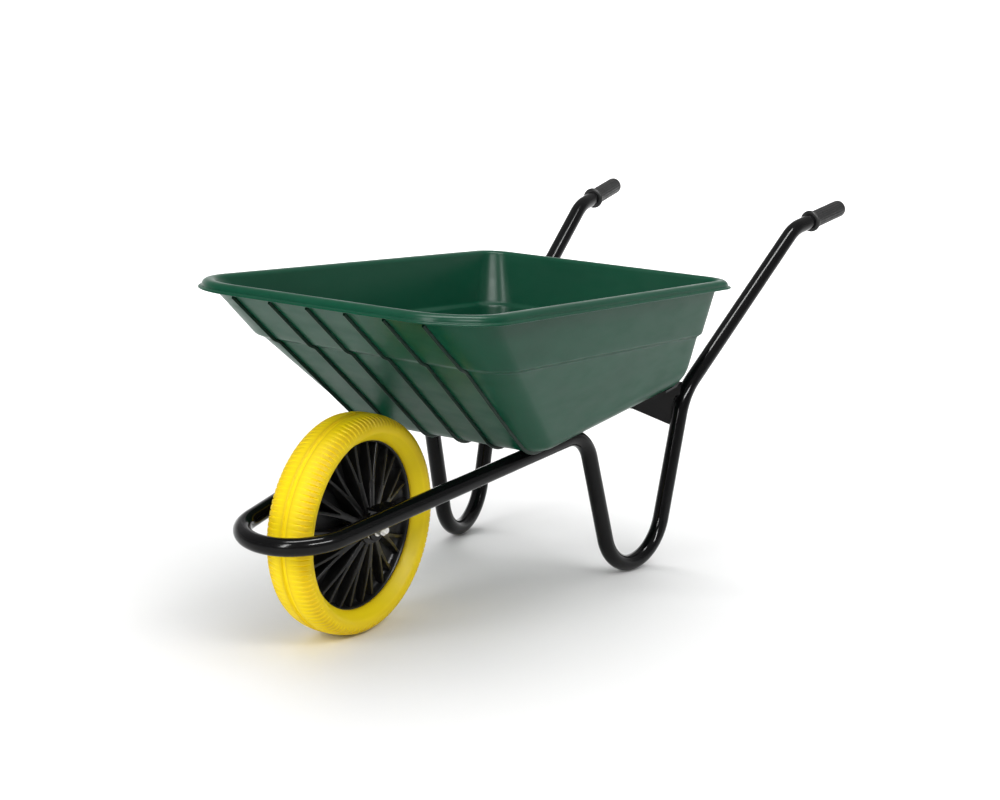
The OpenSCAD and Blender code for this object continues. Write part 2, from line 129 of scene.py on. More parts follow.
class Finish:
    """A node material whose detail follows the object's own coordinates."""

    def __init__(self, name, colour, roughness, metallic=0.0):
        self.material = bpy.data.materials.new(name)
        self.material.use_nodes = True
        self.tree = self.material.node_tree
        self.shader = self.tree.nodes["Principled BSDF"]
        self.shader.inputs["Base Color"].default_value = (*colour, 1)
        self.shader.inputs["Roughness"].default_value = roughness
        self.shader.inputs["Metallic"].default_value = metallic
        self.place = self.tree.nodes.new("ShaderNodeTexCoord")
        self.last_normal = None
        self.last_colour = None

    def link(self, source, target):
        self.tree.links.new(source, target)

    def stretched(self, scale):
        """The object's own coordinates, scaled along each axis."""
        mapping = self.tree.nodes.new("ShaderNodeMapping")
        mapping.inputs["Scale"].default_value = scale
        self.link(self.place.outputs["Object"], mapping.inputs["Vector"])
        return mapping.outputs["Vector"]

    def noise(self, scale, detail=3.0, stretch=None, roughness=0.5):
        node = self.tree.nodes.new("ShaderNodeTexNoise")
        node.inputs["Scale"].default_value = scale
        node.inputs["Detail"].default_value = detail
        node.inputs["Roughness"].default_value = roughness
        place = self.stretched(stretch) if stretch else self.place.outputs["Object"]
        self.link(place, node.inputs["Vector"])
        return node.outputs["Fac"]

    def cells(self, scale):
        node = self.tree.nodes.new("ShaderNodeTexVoronoi")
        node.inputs["Scale"].default_value = scale
        self.link(self.place.outputs["Object"], node.inputs["Vector"])
        return node.outputs["Distance"]

    def spread(self, value, low, high, out_low=0.0, out_high=1.0):
        """Maps low..high of a value to out_low..out_high, held at the ends."""
        node = self.tree.nodes.new("ShaderNodeMapRange")
        node.inputs["From Min"].default_value = low
        node.inputs["From Max"].default_value = high
        node.inputs["To Min"].default_value = out_low
        node.inputs["To Max"].default_value = out_high
        self.link(value, node.inputs["Value"])
        return node.outputs["Result"]

    def product(self, a, b):
        """Multiplies two values."""
        node = self.tree.nodes.new("ShaderNodeMath")
        node.operation = "MULTIPLY"
        self.link(a, node.inputs[0])
        self.link(b, node.inputs[1])
        return node.outputs["Value"]

    def height(self):
        """Height above the ground, for wear at the feet."""
        node = self.tree.nodes.new("ShaderNodeSeparateXYZ")
        self.link(self.place.outputs["Object"], node.inputs["Vector"])
        return node.outputs["Z"]

    def curvature_share(self, low, high):
        """A share from the mesh's own curvature; with low above high it is high in
        hollows.
        """
        node = self.tree.nodes.new("ShaderNodeNewGeometry")
        return self.spread(node.outputs["Pointiness"], low, high)

    def tint(self, share, colour):
        """Mixes another colour in where share is high."""
        node = self.tree.nodes.new("ShaderNodeMix")
        node.data_type = "RGBA"
        base = self.shader.inputs["Base Color"]
        if self.last_colour is None:
            node.inputs["A"].default_value = base.default_value
        else:
            self.link(self.last_colour, node.inputs["A"])
        node.inputs["B"].default_value = (*colour, 1)
        self.link(share, node.inputs["Factor"])
        self.last_colour = node.outputs["Result"]
        self.link(self.last_colour, base)

    def vary_roughness(self, value):
        self.link(value, self.shader.inputs["Roughness"])

    def bump(self, value, depth, strength=1.0):
        node = self.tree.nodes.new("ShaderNodeBump")
        node.inputs["Distance"].default_value = depth
        node.inputs["Strength"].default_value = strength
        self.link(value, node.inputs["Height"])
        if self.last_normal is not None:
            self.link(self.last_normal, node.inputs["Normal"])
        self.last_normal = node.outputs["Normal"]
        self.link(self.last_normal, self.shader.inputs["Normal"])


def black_paint():
    """Gloss powder coat: orange peel, faint dust, scuffs under the feet."""
    f = Finish("black_paint", (0.0028, 0.0028, 0.0031), 0.12)
    f.shader.inputs["Specular IOR Level"].default_value = 0.16
    f.vary_roughness(f.spread(f.noise(26, 5), 0.35, 0.7, 0.1, 0.18))
    f.tint(f.spread(f.noise(7, 4), 0.55, 0.8, 0, 0.4), (0.007, 0.0065, 0.0062))
    scuff = f.product(
        f.spread(f.height(), 0.003, 0.0005),
        f.spread(f.noise(190, 6, (1, 0.3, 1)), 0.5, 0.58),
    )
    f.tint(scuff, (0.11, 0.1, 0.09))
    f.bump(f.noise(420, 2), 0.00012, 0.35)
    f.bump(f.noise(60, 2), 0.0003, 0.12)
    return f.material


def zinc():
    """Bright zinc plate with a faint passivation tint."""
    f = Finish("zinc", (0.72, 0.72, 0.7), 0.28, 1.0)
    f.tint(f.spread(f.noise(90, 4), 0.45, 0.75, 0, 0.6), (0.66, 0.62, 0.5))
    f.vary_roughness(f.spread(f.noise(300, 5), 0.3, 0.7, 0.2, 0.42))
    f.bump(f.noise(900, 3), 0.0001, 0.3)
    return f.material


def bare_steel():
    f = Finish("bare_steel", (0.42, 0.41, 0.4), 0.35, 1.0)
    f.tint(f.spread(f.noise(60, 5), 0.5, 0.8, 0, 0.5), (0.3, 0.26, 0.22))
    f.vary_roughness(f.spread(f.noise(250, 4, (1, 12, 1)), 0.3, 0.7, 0.25, 0.45))
    f.bump(f.noise(700, 3, (1, 14, 1)), 0.0001, 0.35)
    return f.material


def bush_nylon():
    f = Finish("bush_nylon", (0.7, 0.68, 0.6), 0.45)
    f.tint(f.spread(f.noise(120, 4), 0.5, 0.8, 0, 0.5), (0.5, 0.47, 0.4))
    f.vary_roughness(f.spread(f.noise(200, 3), 0.3, 0.7, 0.35, 0.55))
    f.bump(f.noise(600, 3), 0.0001, 0.3)
    return f.material


def rim_plastic():
    """Satin black polypropylene with moulding flow and a fine grain."""
    f = Finish("rim_plastic", (0.0045, 0.0045, 0.0048), 0.3)
    f.shader.inputs["Specular IOR Level"].default_value = 0.3
    f.tint(f.spread(f.noise(40, 5), 0.5, 0.8, 0, 0.5), (0.01, 0.0095, 0.009))
    f.vary_roughness(f.spread(f.noise(70, 5), 0.3, 0.7, 0.28, 0.44))
    f.bump(f.noise(1300, 2), 0.00008, 0.35)
    f.bump(f.noise(90, 2), 0.0004, 0.12)
    return f.material


def tyre_foam():
    """Solid foam skin: matt yellow, pores, moulding marks, vent specks, painted shade in
    the hollows.
    """
    f = Finish("tyre_foam", (0.93, 0.71, 0.002), 0.5)
    f.shader.inputs["Specular IOR Level"].default_value = 0.2
    f.tint(f.spread(f.noise(16, 4), 0.5, 0.8, 0, 0.5), (0.88, 0.62, 0.002))
    # Painted shade: a darker orange in the concave hollows, the grooves between the
    # lugs.
    f.tint(f.curvature_share(0.5, 0.44), (0.66, 0.42, 0.002))
    specks = f.spread(f.cells(95), 0.075, 0.045)
    sparse = f.spread(f.noise(21, 2), 0.6, 0.64)
    f.tint(f.product(specks, sparse), (0.16, 0.09, 0.004))
    f.vary_roughness(f.spread(f.noise(55, 4), 0.3, 0.7, 0.42, 0.58))
    f.bump(f.noise(700, 3), 0.0002, 0.35)
    f.bump(f.noise(75, 4), 0.0007, 0.2)
    f.shader.inputs["Subsurface Weight"].default_value = 0.03
    f.shader.inputs["Subsurface Radius"].default_value = (0.004, 0.0025, 0.0008)
    return f.material


def tray_plastic(name, colour, deep):
    """Moulded polyethylene: a satin skin with faint flow bands."""
    f = Finish(name, colour, 0.33)
    f.shader.inputs["Specular IOR Level"].default_value = 0.16
    f.tint(f.spread(f.noise(5, 5, (1, 1, 2.5)), 0.45, 0.75, 0, 0.6), deep)
    bloom = f.spread(f.noise(2.2, 3), 0.4, 0.75, 0, 0.25)
    f.tint(bloom, tuple(lerp(c, 0.3, 0.02) for c in colour))
    f.vary_roughness(f.spread(f.noise(18, 2, (1, 1, 3)), 0.3, 0.72, 0.28, 0.38))
    return f.material


def grip_rubber():
    f = Finish("grip_rubber", (0.006, 0.0059, 0.0061), 0.4)
    f.tint(f.spread(f.noise(70, 5), 0.5, 0.8, 0, 0.6), (0.012, 0.0115, 0.011))
    f.vary_roughness(f.spread(f.noise(110, 4), 0.3, 0.7, 0.34, 0.52))
    f.bump(f.noise(900, 3), 0.00012, 0.4)
    return f.material


TRAY_GREEN = (0.0018, 0.058, 0.029)
TRAY_DEEP = (0.0012, 0.043, 0.0215)
# The ribs' colours are the tray plastic darkened: painted shade for the ribs' shaded
# sides.
RIB_SHADE_GREEN = (0.0008, 0.018, 0.009)
RIB_SHADE_DEEP = (0.0006, 0.013, 0.0065)

PAINT = black_paint()
ZINC = zinc()
STEEL = bare_steel()
NYLON = bush_nylon()
RIM = rim_plastic()
FOAM = tyre_foam()
TRAY = tray_plastic("tray_plastic", TRAY_GREEN, TRAY_DEEP)
# Painted shade: the same tray plastic in a darker copy, for the ribs.
RIB_SHADE = tray_plastic("tray_rib_painted_shade", RIB_SHADE_GREEN, RIB_SHADE_DEEP)
RUBBER = grip_rubber()


# ---- frame centreline ----------------------------------------------------

TUBE_R = 0.0143
TUBE_WALL = 0.0016
TUBE_SIDES = 40
LONGEST_STEP = 0.03
WHEEL_X = 0.517
AXLE_Z = 0.1775
GRIP_BEND_R = 0.09
HANDLE_BEND_R = 0.1
FOOT_BEND_R = 0.087
LEG_TOP_BEND_R = 0.065
NOSE_BEND_R = 0.087


def from_axle(x, y, z):
    return Vector((WHEEL_X + x, y, z))


GRIP_END = from_axle(-1.264, 0.2558, 0.612)
GRIP_CORNER = from_axle(-1.095, 0.2379, 0.5829)
HANDLE_CORNER = from_axle(-0.7358, 0.202, 0.3074)
LEG_TOP_CORNER = from_axle(-0.448, 0.162, 0.2775)
RAIL_POINT = from_axle(0.149, 0.086, 0.199)
FOOT_X = WHEEL_X - 0.6047
LEG_TOE = (HANDLE_CORNER.y - LEG_TOP_CORNER.y) / (LEG_TOP_CORNER.x - HANDLE_CORNER.x)


def leg_y(x):
    return LEG_TOP_CORNER.y + LEG_TOE * (LEG_TOP_CORNER.x - x)


def foot_corner():
    """Where the lines that touch the foot circle from both corners meet."""
    stretch = math.hypot(1, LEG_TOE)
    centre_z = TUBE_R + FOOT_BEND_R

    def touch(p, side):
        run_in = (FOOT_X - p.x) * stretch
        drop = centre_z - p.z
        reach = math.hypot(run_in, drop)
        return math.atan2(drop, run_in) + side * math.asin(FOOT_BEND_R / reach)

    p, q = LEG_TOP_CORNER, HANDLE_CORNER
    a, b = touch(p, 1), touch(q, -1)
    across = (q.x - p.x) * stretch * math.sin(b) - (q.z - p.z) * math.cos(b)
    t = across / math.sin(b - a)
    x = p.x + t * math.cos(a) / stretch
    return Vector((x, leg_y(x), p.z + t * math.sin(a)))


def flip_y(p):
    return Vector((p.x, -p.y, p.z))


def centreline():
    """Points and directions along the whole bent tube."""
    rail = RAIL_POINT - LEG_TOP_CORNER
    nose = LEG_TOP_CORNER - rail * (LEG_TOP_CORNER.y / rail.y)
    half = [
        (GRIP_END, 0),
        (GRIP_CORNER, GRIP_BEND_R),
        (HANDLE_CORNER, HANDLE_BEND_R),
        (foot_corner(), FOOT_BEND_R),
        (LEG_TOP_CORNER, LEG_TOP_BEND_R),
    ]
    corners = half + [(nose, NOSE_BEND_R)] + [(flip_y(p), r) for p, r in reversed(half)]
    out = [(corners[0][0], (corners[1][0] - corners[0][0]).normalized())]
    for before, here, after in zip(corners, corners[1:], corners[2:]):
        u = (before[0] - here[0]).normalized()
        w = (after[0] - here[0]).normalized()
        half_angle = u.angle(w) / 2
        r = here[1]
        centre = here[0] + (u + w).normalized() * r / math.sin(half_angle)
        start = here[0] + u * r / math.tan(half_angle)
        turning = math.pi - 2 * half_angle
        axis = u.cross(w).normalized()
        steps = max(6, round(math.degrees(turning) / 3))
        for s in range(steps + 1):
            turn = Matrix.Rotation(-turning * s / steps, 3, axis)
            out.append((centre + turn @ (start - centre), turn @ -u))
    out.append((corners[-1][0], (corners[-1][0] - corners[-2][0]).normalized()))
    return with_straight_steps(out, LONGEST_STEP)


def with_straight_steps(points, longest):
    """Adds points along the straight stretches."""
    out = [points[0]]
    for (a, da), (b, db) in zip(points, points[1:]):
        count = max(1, math.ceil((b - a).length / longest))
        for s in range(1, count):
            out.append((a.lerp(b, s / count), da.lerp(db, s / count).normalized()))
        out.append((b, db))
    return out


def tube_ring(p, d, r):
    """A circle of points round p, square to the direction d."""
    u = d.cross(UP).normalized()
    w = u.cross(d)
    turns = [2 * math.pi * i / TUBE_SIDES for i in range(TUBE_SIDES)]
    return [p + (u * math.cos(a) + w * math.sin(a)) * r for a in turns]


LINE = centreline()


def frame_tube():
    """The whole bent tube, with its bore, as one closed skin."""
    shell = Shell()
    outer = [tube_ring(p, d, TUBE_R) for p, d in LINE]
    inner = [tube_ring(p, d, TUBE_R - TUBE_WALL) for p, d in reversed(LINE)]
    shell.loft(outer + inner, close_rows=True)
    piece = shell.piece("frame_tube", PAINT, "frame")
    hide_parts("main_frame_tube")


# ---- weld beads ----------------------------------------------------------


def skin_y(x, z, side):
    """Where the tube's inward skin is, level with a point beside it."""
    best = None
    for (a, _), (b, _) in zip(LINE, LINE[1:]):
        if (a.y + b.y) * side < 0:
            continue
        seg = b - a
        length = seg.x * seg.x + seg.z * seg.z
        if length < 1e-12:
            continue
        t = ((x - a.x) * seg.x + (z - a.z) * seg.z) / length
        if not -0.02 <= t <= 1.02:
            continue
        near = a + seg * t
        gap = math.hypot(x - near.x, z - near.z)
        if gap < TUBE_R and (best is None or gap < best[0]):
            best = (gap, near.y - side * math.sqrt(TUBE_R**2 - gap * gap))
    return None if best is None else best[1]


def bead(shell, points, r):
    """A rippled weld run along points, tapered shut at both ends."""
    rings = []
    for i, p in enumerate(points):
        d = points[min(i + 1, len(points) - 1)] - points[max(i - 1, 0)]
        d.normalize()
        u = d.orthogonal().normalized()
        w = d.cross(u)
        end = min(i, len(points) - 1 - i)
        size = r * min(1, 0.25 + end * 0.35) * (1 + 0.16 * math.sin(i * 1.57))
        rings.append(
            [
                p + (u * math.cos(a) + w * math.sin(a)) * size
                for a in (2 * math.pi * k / 10 for k in range(10))
            ]
        )
    shell.loft(rings, cap_first=True, cap_last=True)


def bead_on_skin(shell, start, end, side, r):
    """A bead where a plate's edge, from start to end in x and z, meets the tube."""
    length = math.hypot(end[0] - start[0], end[1] - start[1])
    steps = max(4, round(length / 0.0011))
    points = []
    for i in range(steps + 1):
        x = lerp(start[0], end[0], i / steps)
        z = lerp(start[1], end[1], i / steps)
        y = skin_y(x, z, side)
        if y is not None:
            points.append(Vector((x, y, z)))
    if len(points) > 3:
        bead(shell, points, r)


RAIL_FALL = (LEG_TOP_CORNER.z - RAIL_POINT.z) / (RAIL_POINT.x - LEG_TOP_CORNER.x)
FLOOR_TILT = math.atan(RAIL_FALL)
FLOOR_LIFT = TUBE_R / math.cos(FLOOR_TILT) + 0.00005


def floor_z(x):
    """Height of the underside of the tray floor."""
    return LEG_TOP_CORNER.z + FLOOR_LIFT - RAIL_FALL * (x - LEG_TOP_CORNER.x)


CROSS_X = WHEEL_X - 0.728
CROSS_LOW_Z = 0.2445
CROSS_FACES = (-0.0024, 0.0024)
BRACKET_ENDS = (-0.0255, 0.0255)
BRACKET_LOW, BRACKET_HIGH = 0.2118, 0.2162
BRACKET_HALF = 0.025
LUG_FACES = (-0.0003, -0.0046)
LUG_HALF = 0.02
FRONT_BOLT_X, FRONT_BOLT_Y = WHEEL_X - 0.335, 0.118
REAR_BOLT_X, REAR_BOLT_Y = WHEEL_X - 0.681, 0.12


def weld_beads():
    """Beads where the cross member, brackets and lugs meet the tube."""
    shell = Shell()
    for side in (-1, 1):
        for face in CROSS_FACES:
            x = CROSS_X + face
            high = floor_z(x) - 0.001
            bead_on_skin(shell, (x, CROSS_LOW_Z), (x, high), side, 0.0027)
        for end in BRACKET_ENDS:
            x = WHEEL_X + end
            low, high = BRACKET_LOW + 0.0004, BRACKET_HIGH - 0.0004
            bead_on_skin(shell, (x, low), (x, high), side, 0.002)
        rear, front = WHEEL_X - BRACKET_HALF, WHEEL_X + BRACKET_HALF
        for z in (BRACKET_LOW, BRACKET_HIGH):
            bead_on_skin(shell, (rear, z), (front, z), side, 0.0022)
        rear, front = FRONT_BOLT_X - LUG_HALF, FRONT_BOLT_X + LUG_HALF
        for lift in LUG_FACES:
            start = (rear, floor_z(rear) + lift)
            end = (front, floor_z(front) + lift)
            bead_on_skin(shell, start, end, side, 0.0016)
    piece = shell.piece("weld_beads", PAINT, "frame", 60)


# ---- tray ----------------------------------------------------------------

RIM_LEVEL = (
    WHEEL_X + 0.12, WHEEL_X - 0.803, 0.2855, 0.2745, 0.118, 0.062, 0.537, 0.504
)
WALL_TOP = (
    WHEEL_X + 0.093, WHEEL_X - 0.781, 0.263, 0.251, 0.092, 0.05, 0.5365, 0.5035
)
STEP_HIGH = (
    WHEEL_X - 0.0225, WHEEL_X - 0.763, 0.252, 0.239, 0.06, 0.054, 0.449, 0.421
)
STEP_LOW = (
    WHEEL_X - 0.0375, WHEEL_X - 0.755, 0.244, 0.232, 0.054, 0.05, 0.4435, 0.415
)
FRONT_LOW_H = 0.022
REAR_LOW_H = 0.038
WALL_LOW_FRONT = WHEEL_X - 0.237
WALL_LOW_REAR = WHEEL_X - 0.746
WALL_LOW = (
    WALL_LOW_FRONT, WALL_LOW_REAR, 0.196, 0.224, 0.044, 0.046,
    floor_z(WALL_LOW_FRONT) + FRONT_LOW_H, floor_z(WALL_LOW_REAR) + REAR_LOW_H,
)
TRAY_WALL = 0.004
# Below WALL_LOW, from the floor up: pulled in at the front, the sides and the
# rear, and the share of the height.
ROUNDING = [
    (0.057, 0.031, 0.046, 0), (0.044, 0.022, 0.034, 0.036),
    (0.031, 0.014, 0.023, 0.173), (0.019, 0.007, 0.013, 0.409),
    (0.009, 0.0025, 0.005, 0.682), (0, 0, 0, 1),
]
# Outside of the rolled rim: how far in from its edge, and up.
LIP = [
    (0.024, 0.0095), (0.014, 0.0095), (0.009, 0.0036), (0.0034, -0.0006),
    (0.0018, -0.001), (0.0003, -0.0004), (0.0002, 0.0012), (0.0018, 0.0024),
    (0.0052, 0.0034), (0.0057, 0.0052), (0.0068, 0.0086), (0.0094, 0.0114),
    (0.0132, 0.0134), (0.018, 0.0139), (0.0225, 0.0132), (0.026, 0.0112),
    (0.0284, 0.0072),
]
# Inside face: how far in and up from the outside, along the rounding.
INNER = [(0.2, 1), (0.35, 0.97), (0.55, 0.85), (0.75, 0.7), (0.9, 0.5), (1, 0.375)]


def rounded(row, inner=(0, 0)):
    """A level on the rounding; inner moves it in and up to the inside face."""
    front, other, rear, share = row
    d = TRAY_WALL * inner[0]
    up = TRAY_WALL * inner[1]
    q = WALL_LOW
    front_x = q[0] - front - d
    rear_x = q[1] + rear + d
    return (
        front_x,
        rear_x,
        q[2] - other - d,
        q[3] - other - d,
        max(q[4] - other * 0.7 - d, 0.012),
        max(q[5] - other * 0.7 - d, 0.012),
        floor_z(front_x) + FRONT_LOW_H * share + up,
        floor_z(rear_x) + REAR_LOW_H * share + up,
    )


def inset(q, d, up):
    """The same level, pulled in all round and lifted."""
    return (
        q[0] - d, q[1] + d, q[2] - d, q[3] - d,
        max(q[4] - d, 0.003), max(q[5] - d, 0.003), q[6] + up, q[7] + up,
    )


def mix_levels(a, b, t):
    return tuple(lerp(p, q, t) for p, q in zip(a, b))


def softened(levels, reach, steps=4):
    """Rounds each turn of the profile over a given reach."""
    def size(a, b):
        return math.hypot(a[0] - b[0], a[6] - b[6]) + 1e-9

    out = [levels[0]]
    for a, b, c in zip(levels, levels[1:], levels[2:]):
        before = mix_levels(b, a, min(0.45, reach / size(a, b)))
        after = mix_levels(b, c, min(0.45, reach / size(b, c)))
        for s in range(steps + 1):
            t = s / steps
            out.append(mix_levels(mix_levels(before, b, t), mix_levels(b, after, t), t))
    out.append(levels[-1])
    return out


def filled_in(levels, longest):
    """Adds levels on the long flats, so that the walls can carry detail."""
    out = [levels[0]]
    for a, b in zip(levels, levels[1:]):
        gap = math.hypot(a[0] - b[0], a[6] - b[6])
        count = max(1, math.ceil(gap / longest))
        out.extend(mix_levels(a, b, s / count) for s in range(1, count + 1))
    return out


def level_half(q, x):
    return lerp(q[2], q[3], (q[0] - x) / (q[0] - q[1]))


def level_z(q, x):
    return lerp(q[6], q[7], (q[0] - x) / (q[0] - q[1]))


CORNER_STEPS = 14
SIDE_STEPS = 24
END_STEPS = 16


def level_corner(q, r, end_x, toward, turn):
    x = end_x - toward * r * (1 - math.cos(turn))
    return x, level_half(q, x) - r * (1 - math.sin(turn))


def level_ring(q):
    """One level as a ring of points, from the nose round the left side."""
    quarter = [math.pi / 2 * i / CORNER_STEPS for i in range(CORNER_STEPS + 1)]
    front = [level_corner(q, q[4], q[0], 1, t) for t in quarter]
    rear = [level_corner(q, q[5], q[1], -1, t) for t in reversed(quarter)]
    (x0, y0), (x1, y1) = front[-1], rear[0]
    along = [s / SIDE_STEPS for s in range(1, SIDE_STEPS)]
    side = [(lerp(x0, x1, t), lerp(y0, y1, t)) for t in along]
    nose_y, tail_y = front[0][1], rear[-1][1]
    nose = [(q[0], nose_y * s / END_STEPS) for s in range(1, END_STEPS)]
    tail = [(q[1], tail_y * (1 - s / END_STEPS)) for s in range(1, END_STEPS)]
    left = nose + front + side + rear + tail
    middle_nose = [(q[0], 0.0)]
    middle_tail = [(q[1], 0.0)]
    ring = middle_nose + left + middle_tail + [(x, -y) for x, y in reversed(left)]
    return [Vector((x, y, level_z(q, x))) for x, y in ring]


def outer_levels(with_lip=True):
    """Outside of the tray from its floor to the top of its walls or its lip."""
    rounding = [rounded(row) for row in spline(ROUNDING, 3)]
    walls = [rounding[-1], STEP_LOW, STEP_HIGH, WALL_TOP]
    if with_lip:
        walls += [inset(RIM_LEVEL, d, up) for d, up in LIP[:2]]
    return rounding[:-1] + softened(walls, 0.004)


def inner_levels():
    rows = spline([a + b for a, b in zip(ROUNDING, INNER)], 3)
    rounding = [rounded(row[:4], row[4:]) for row in reversed(rows)]
    walls = [
        inset(RIM_LEVEL, LIP[-1][0], LIP[-1][1] - 0.004),
        inset(STEP_HIGH, TRAY_WALL, 0.003),
        inset(STEP_LOW, TRAY_WALL, 0.003),
        rounding[0],
    ]
    return softened(walls, 0.004)[1:] + rounding[1:]


REAR_RIB_Y = (-0.0375, 0.0375)
MARK_HALF = 0.006
MARK_DEEP = 0.0009


def wall_marks(rings):
    """Faint upright marks inside the rear wall, where ribs stand behind it."""
    for ring in rings:
        tail_x = min(p.x for p in ring)
        for p in ring:
            if p.x > tail_x + 0.004:
                continue
            for y in REAR_RIB_Y:
                near = abs(p.y - y) / MARK_HALF
                if near < 1:
                    p.x += MARK_DEEP * (0.5 + 0.5 * math.cos(math.pi * near))


def tray_shell():
    """The tray as one closed skin, from its floor outside to its floor inside."""
    outer = outer_levels()
    lip = [inset(RIM_LEVEL, d, up) for d, up in spline(LIP, 2)]
    inner = inner_levels()
    levels = filled_in(outer[:-1] + lip[2:], 0.02)
    inner_start = len(levels)
    levels += filled_in(inner, 0.02)
    rings = [level_ring(q) for q in levels]
    wall_marks(rings[inner_start:])
    shell = Shell()
    under, inside = levels[0], levels[-1]
    floor_out = [mix_levels(under, flat_middle(under), t) for t in (1, 0.6, 0.25)]
    floor_in = [mix_levels(inside, flat_middle(inside), t) for t in (0.25, 0.6, 1)]
    below = [level_ring(q) for q in floor_out]
    above = [level_ring(q) for q in floor_in]
    shell.loft(below + rings + above, cap_first=True, cap_last=True)
    return shell


def flat_middle(q):
    """The same level shrunk close to its middle."""
    mid_x, mid_z = (q[0] + q[1]) / 2, (q[6] + q[7]) / 2
    half, corner = 0.03, 0.012
    slope = (q[6] - q[7]) / (q[0] - q[1])
    return (
        mid_x + half, mid_x - half, half, half, corner, corner,
        mid_z + slope * half, mid_z - slope * half,
    )


ACROSS = Vector((0, 1, 0))
RIB_COUNT = 6
RIB_PITCH_LOW, RIB_PITCH_HIGH = 0.066, 0.072
RIB_LEVEL_GAP = 0.012
# Under the floor each rib fades out: how far back its last points are.
RIB_TAIL = (0.026, 0.022, 0.016, 0.008)
RIB_TAIL_REACH = 0.027
# Half of a rib's thickness and its height, from one side over to the other.
RIB_SECTION = [
    (-0.0025, -0.0015), (-0.0021, 0.002), (-0.0016, 0.0042), (-0.0007, 0.0052),
    (0.0007, 0.0052), (0.0016, 0.0042), (0.0021, 0.002), (0.0025, -0.0015),
]


def front_at(q, y):
    """The point of a level's front edge at y, on the flat or on its corner."""
    flat = q[2] - q[4]
    beyond = max(0.0, abs(y) - flat)
    beyond = min(beyond, q[4] * 0.98)
    x = q[0] - (q[4] - math.sqrt(max(q[4] ** 2 - beyond**2, 0)))
    return Vector((x, y, level_z(q, x)))


def fin(shell, path, heights):
    """A thin rib along path; each path row is a point and its two sides."""
    rings = []
    for i, (p, across) in enumerate(path):
        along = path[min(i + 1, len(path) - 1)][0] - path[max(i - 1, 0)][0]
        out = across.cross(along).normalized()
        rings.append(
            [p + across * a + out * (b * heights[i]) for a, b in RIB_SECTION]
        )
    shell.loft(rings, cap_first=True, cap_last=True)


def front_ribs(shell):
    """Upright ribs on the sloping front, which run on under the floor."""
    fine = filled_in(outer_levels(with_lip=False), RIB_LEVEL_GAP)
    for k in range(RIB_COUNT):
        place = k - (RIB_COUNT - 1) / 2
        foot = front_at(rounded(ROUNDING[0]), place * RIB_PITCH_LOW)
        path, heights = [], []
        for back in RIB_TAIL:
            x = foot.x - back
            path.append((Vector((x, foot.y, floor_z(x))), ACROSS))
            heights.append(max(0.05, 1 - (back / RIB_TAIL_REACH) ** 2))
        for q in fine[:-1]:
            share = (q[6] - WALL_LOW[6]) / (STEP_LOW[6] - WALL_LOW[6])
            pitch = lerp(RIB_PITCH_LOW, RIB_PITCH_HIGH, min(1, max(0, share)))
            path.append((front_at(q, place * pitch), ACROSS))
            heights.append(1.0)
        fin(shell, path, heights)


def rear_ribs(shell):
    """Two upright ribs outside the rear wall."""
    walls = [q for q in outer_levels(with_lip=False) if q[7] > WALL_LOW[7] - 0.012]
    fine = filled_in(walls, RIB_LEVEL_GAP)
    for y in REAR_RIB_Y:
        path = [(Vector((q[1], y, q[7])), -ACROSS) for q in fine[:-1]]
        heights = [min(1, 0.1 + 0.3 * i) for i in range(len(path))]
        fin(shell, path, heights)


def tray():
    """The moulded tray and its ribs; the ribs wear a darker copy of its plastic as
    painted shade.
    """
    body = tray_shell().piece("tray_body", TRAY, "frame", 50)
    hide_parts("tray")
    ribs = Shell()
    front_ribs(ribs)
    rear_ribs(ribs)
    # Painted shade: the ribs take the darker copy of the tray plastic.
    piece = ribs.piece("tray_ribs", RIB_SHADE, "frame", 50)


# ---- wheel ---------------------------------------------------------------

TYRE_R = 0.1775
TYRE_HALF = 0.041
LUGS = 120
LUG_STEPS = 4
# Where the points of one lug lie along its pitch; the first is the groove.
LUG_PHASES = (0.0, 0.16, 0.5, 0.84)


def wheel_point(r, y, angle):
    return Vector((WHEEL_X + r * math.cos(angle), y, AXLE_Z + r * math.sin(angle)))


# Half of the tyre section from the middle of the tread: radius drop, share
# of the half width, and how deep the grooves between the lugs are there.
TREAD = [
    (0.0034, 0.0, 0), (0.0034, 0.06, 0), (0.0008, 0.095, 0.0),
    (0.0, 0.125, 0.0), (0.0001, 0.22, 0.0001), (0.0004, 0.34, 0.0003),
    (0.0012, 0.47, 0.0007), (0.0024, 0.6, 0.0014), (0.004, 0.73, 0.0024),
    (0.0062, 0.83, 0.0032), (0.009, 0.905, 0.0034), (0.0122, 0.955, 0.0026),
    (0.0155, 0.985, 0.0012),
]
# From the shoulder to the seat: radius drop and share of the half width.
SIDEWALL = [
    (0.019, 1.0), (0.023, 0.985), (0.0262, 0.945), (0.0275, 0.92),
    (0.0285, 0.9), (0.031, 0.83), (0.0336, 0.755), (0.0362, 0.68),
    (0.0388, 0.6), (0.0408, 0.53), (0.0415, 0.49), (0.0415, 0.4415),
    (0.0386, 0.4405),
]


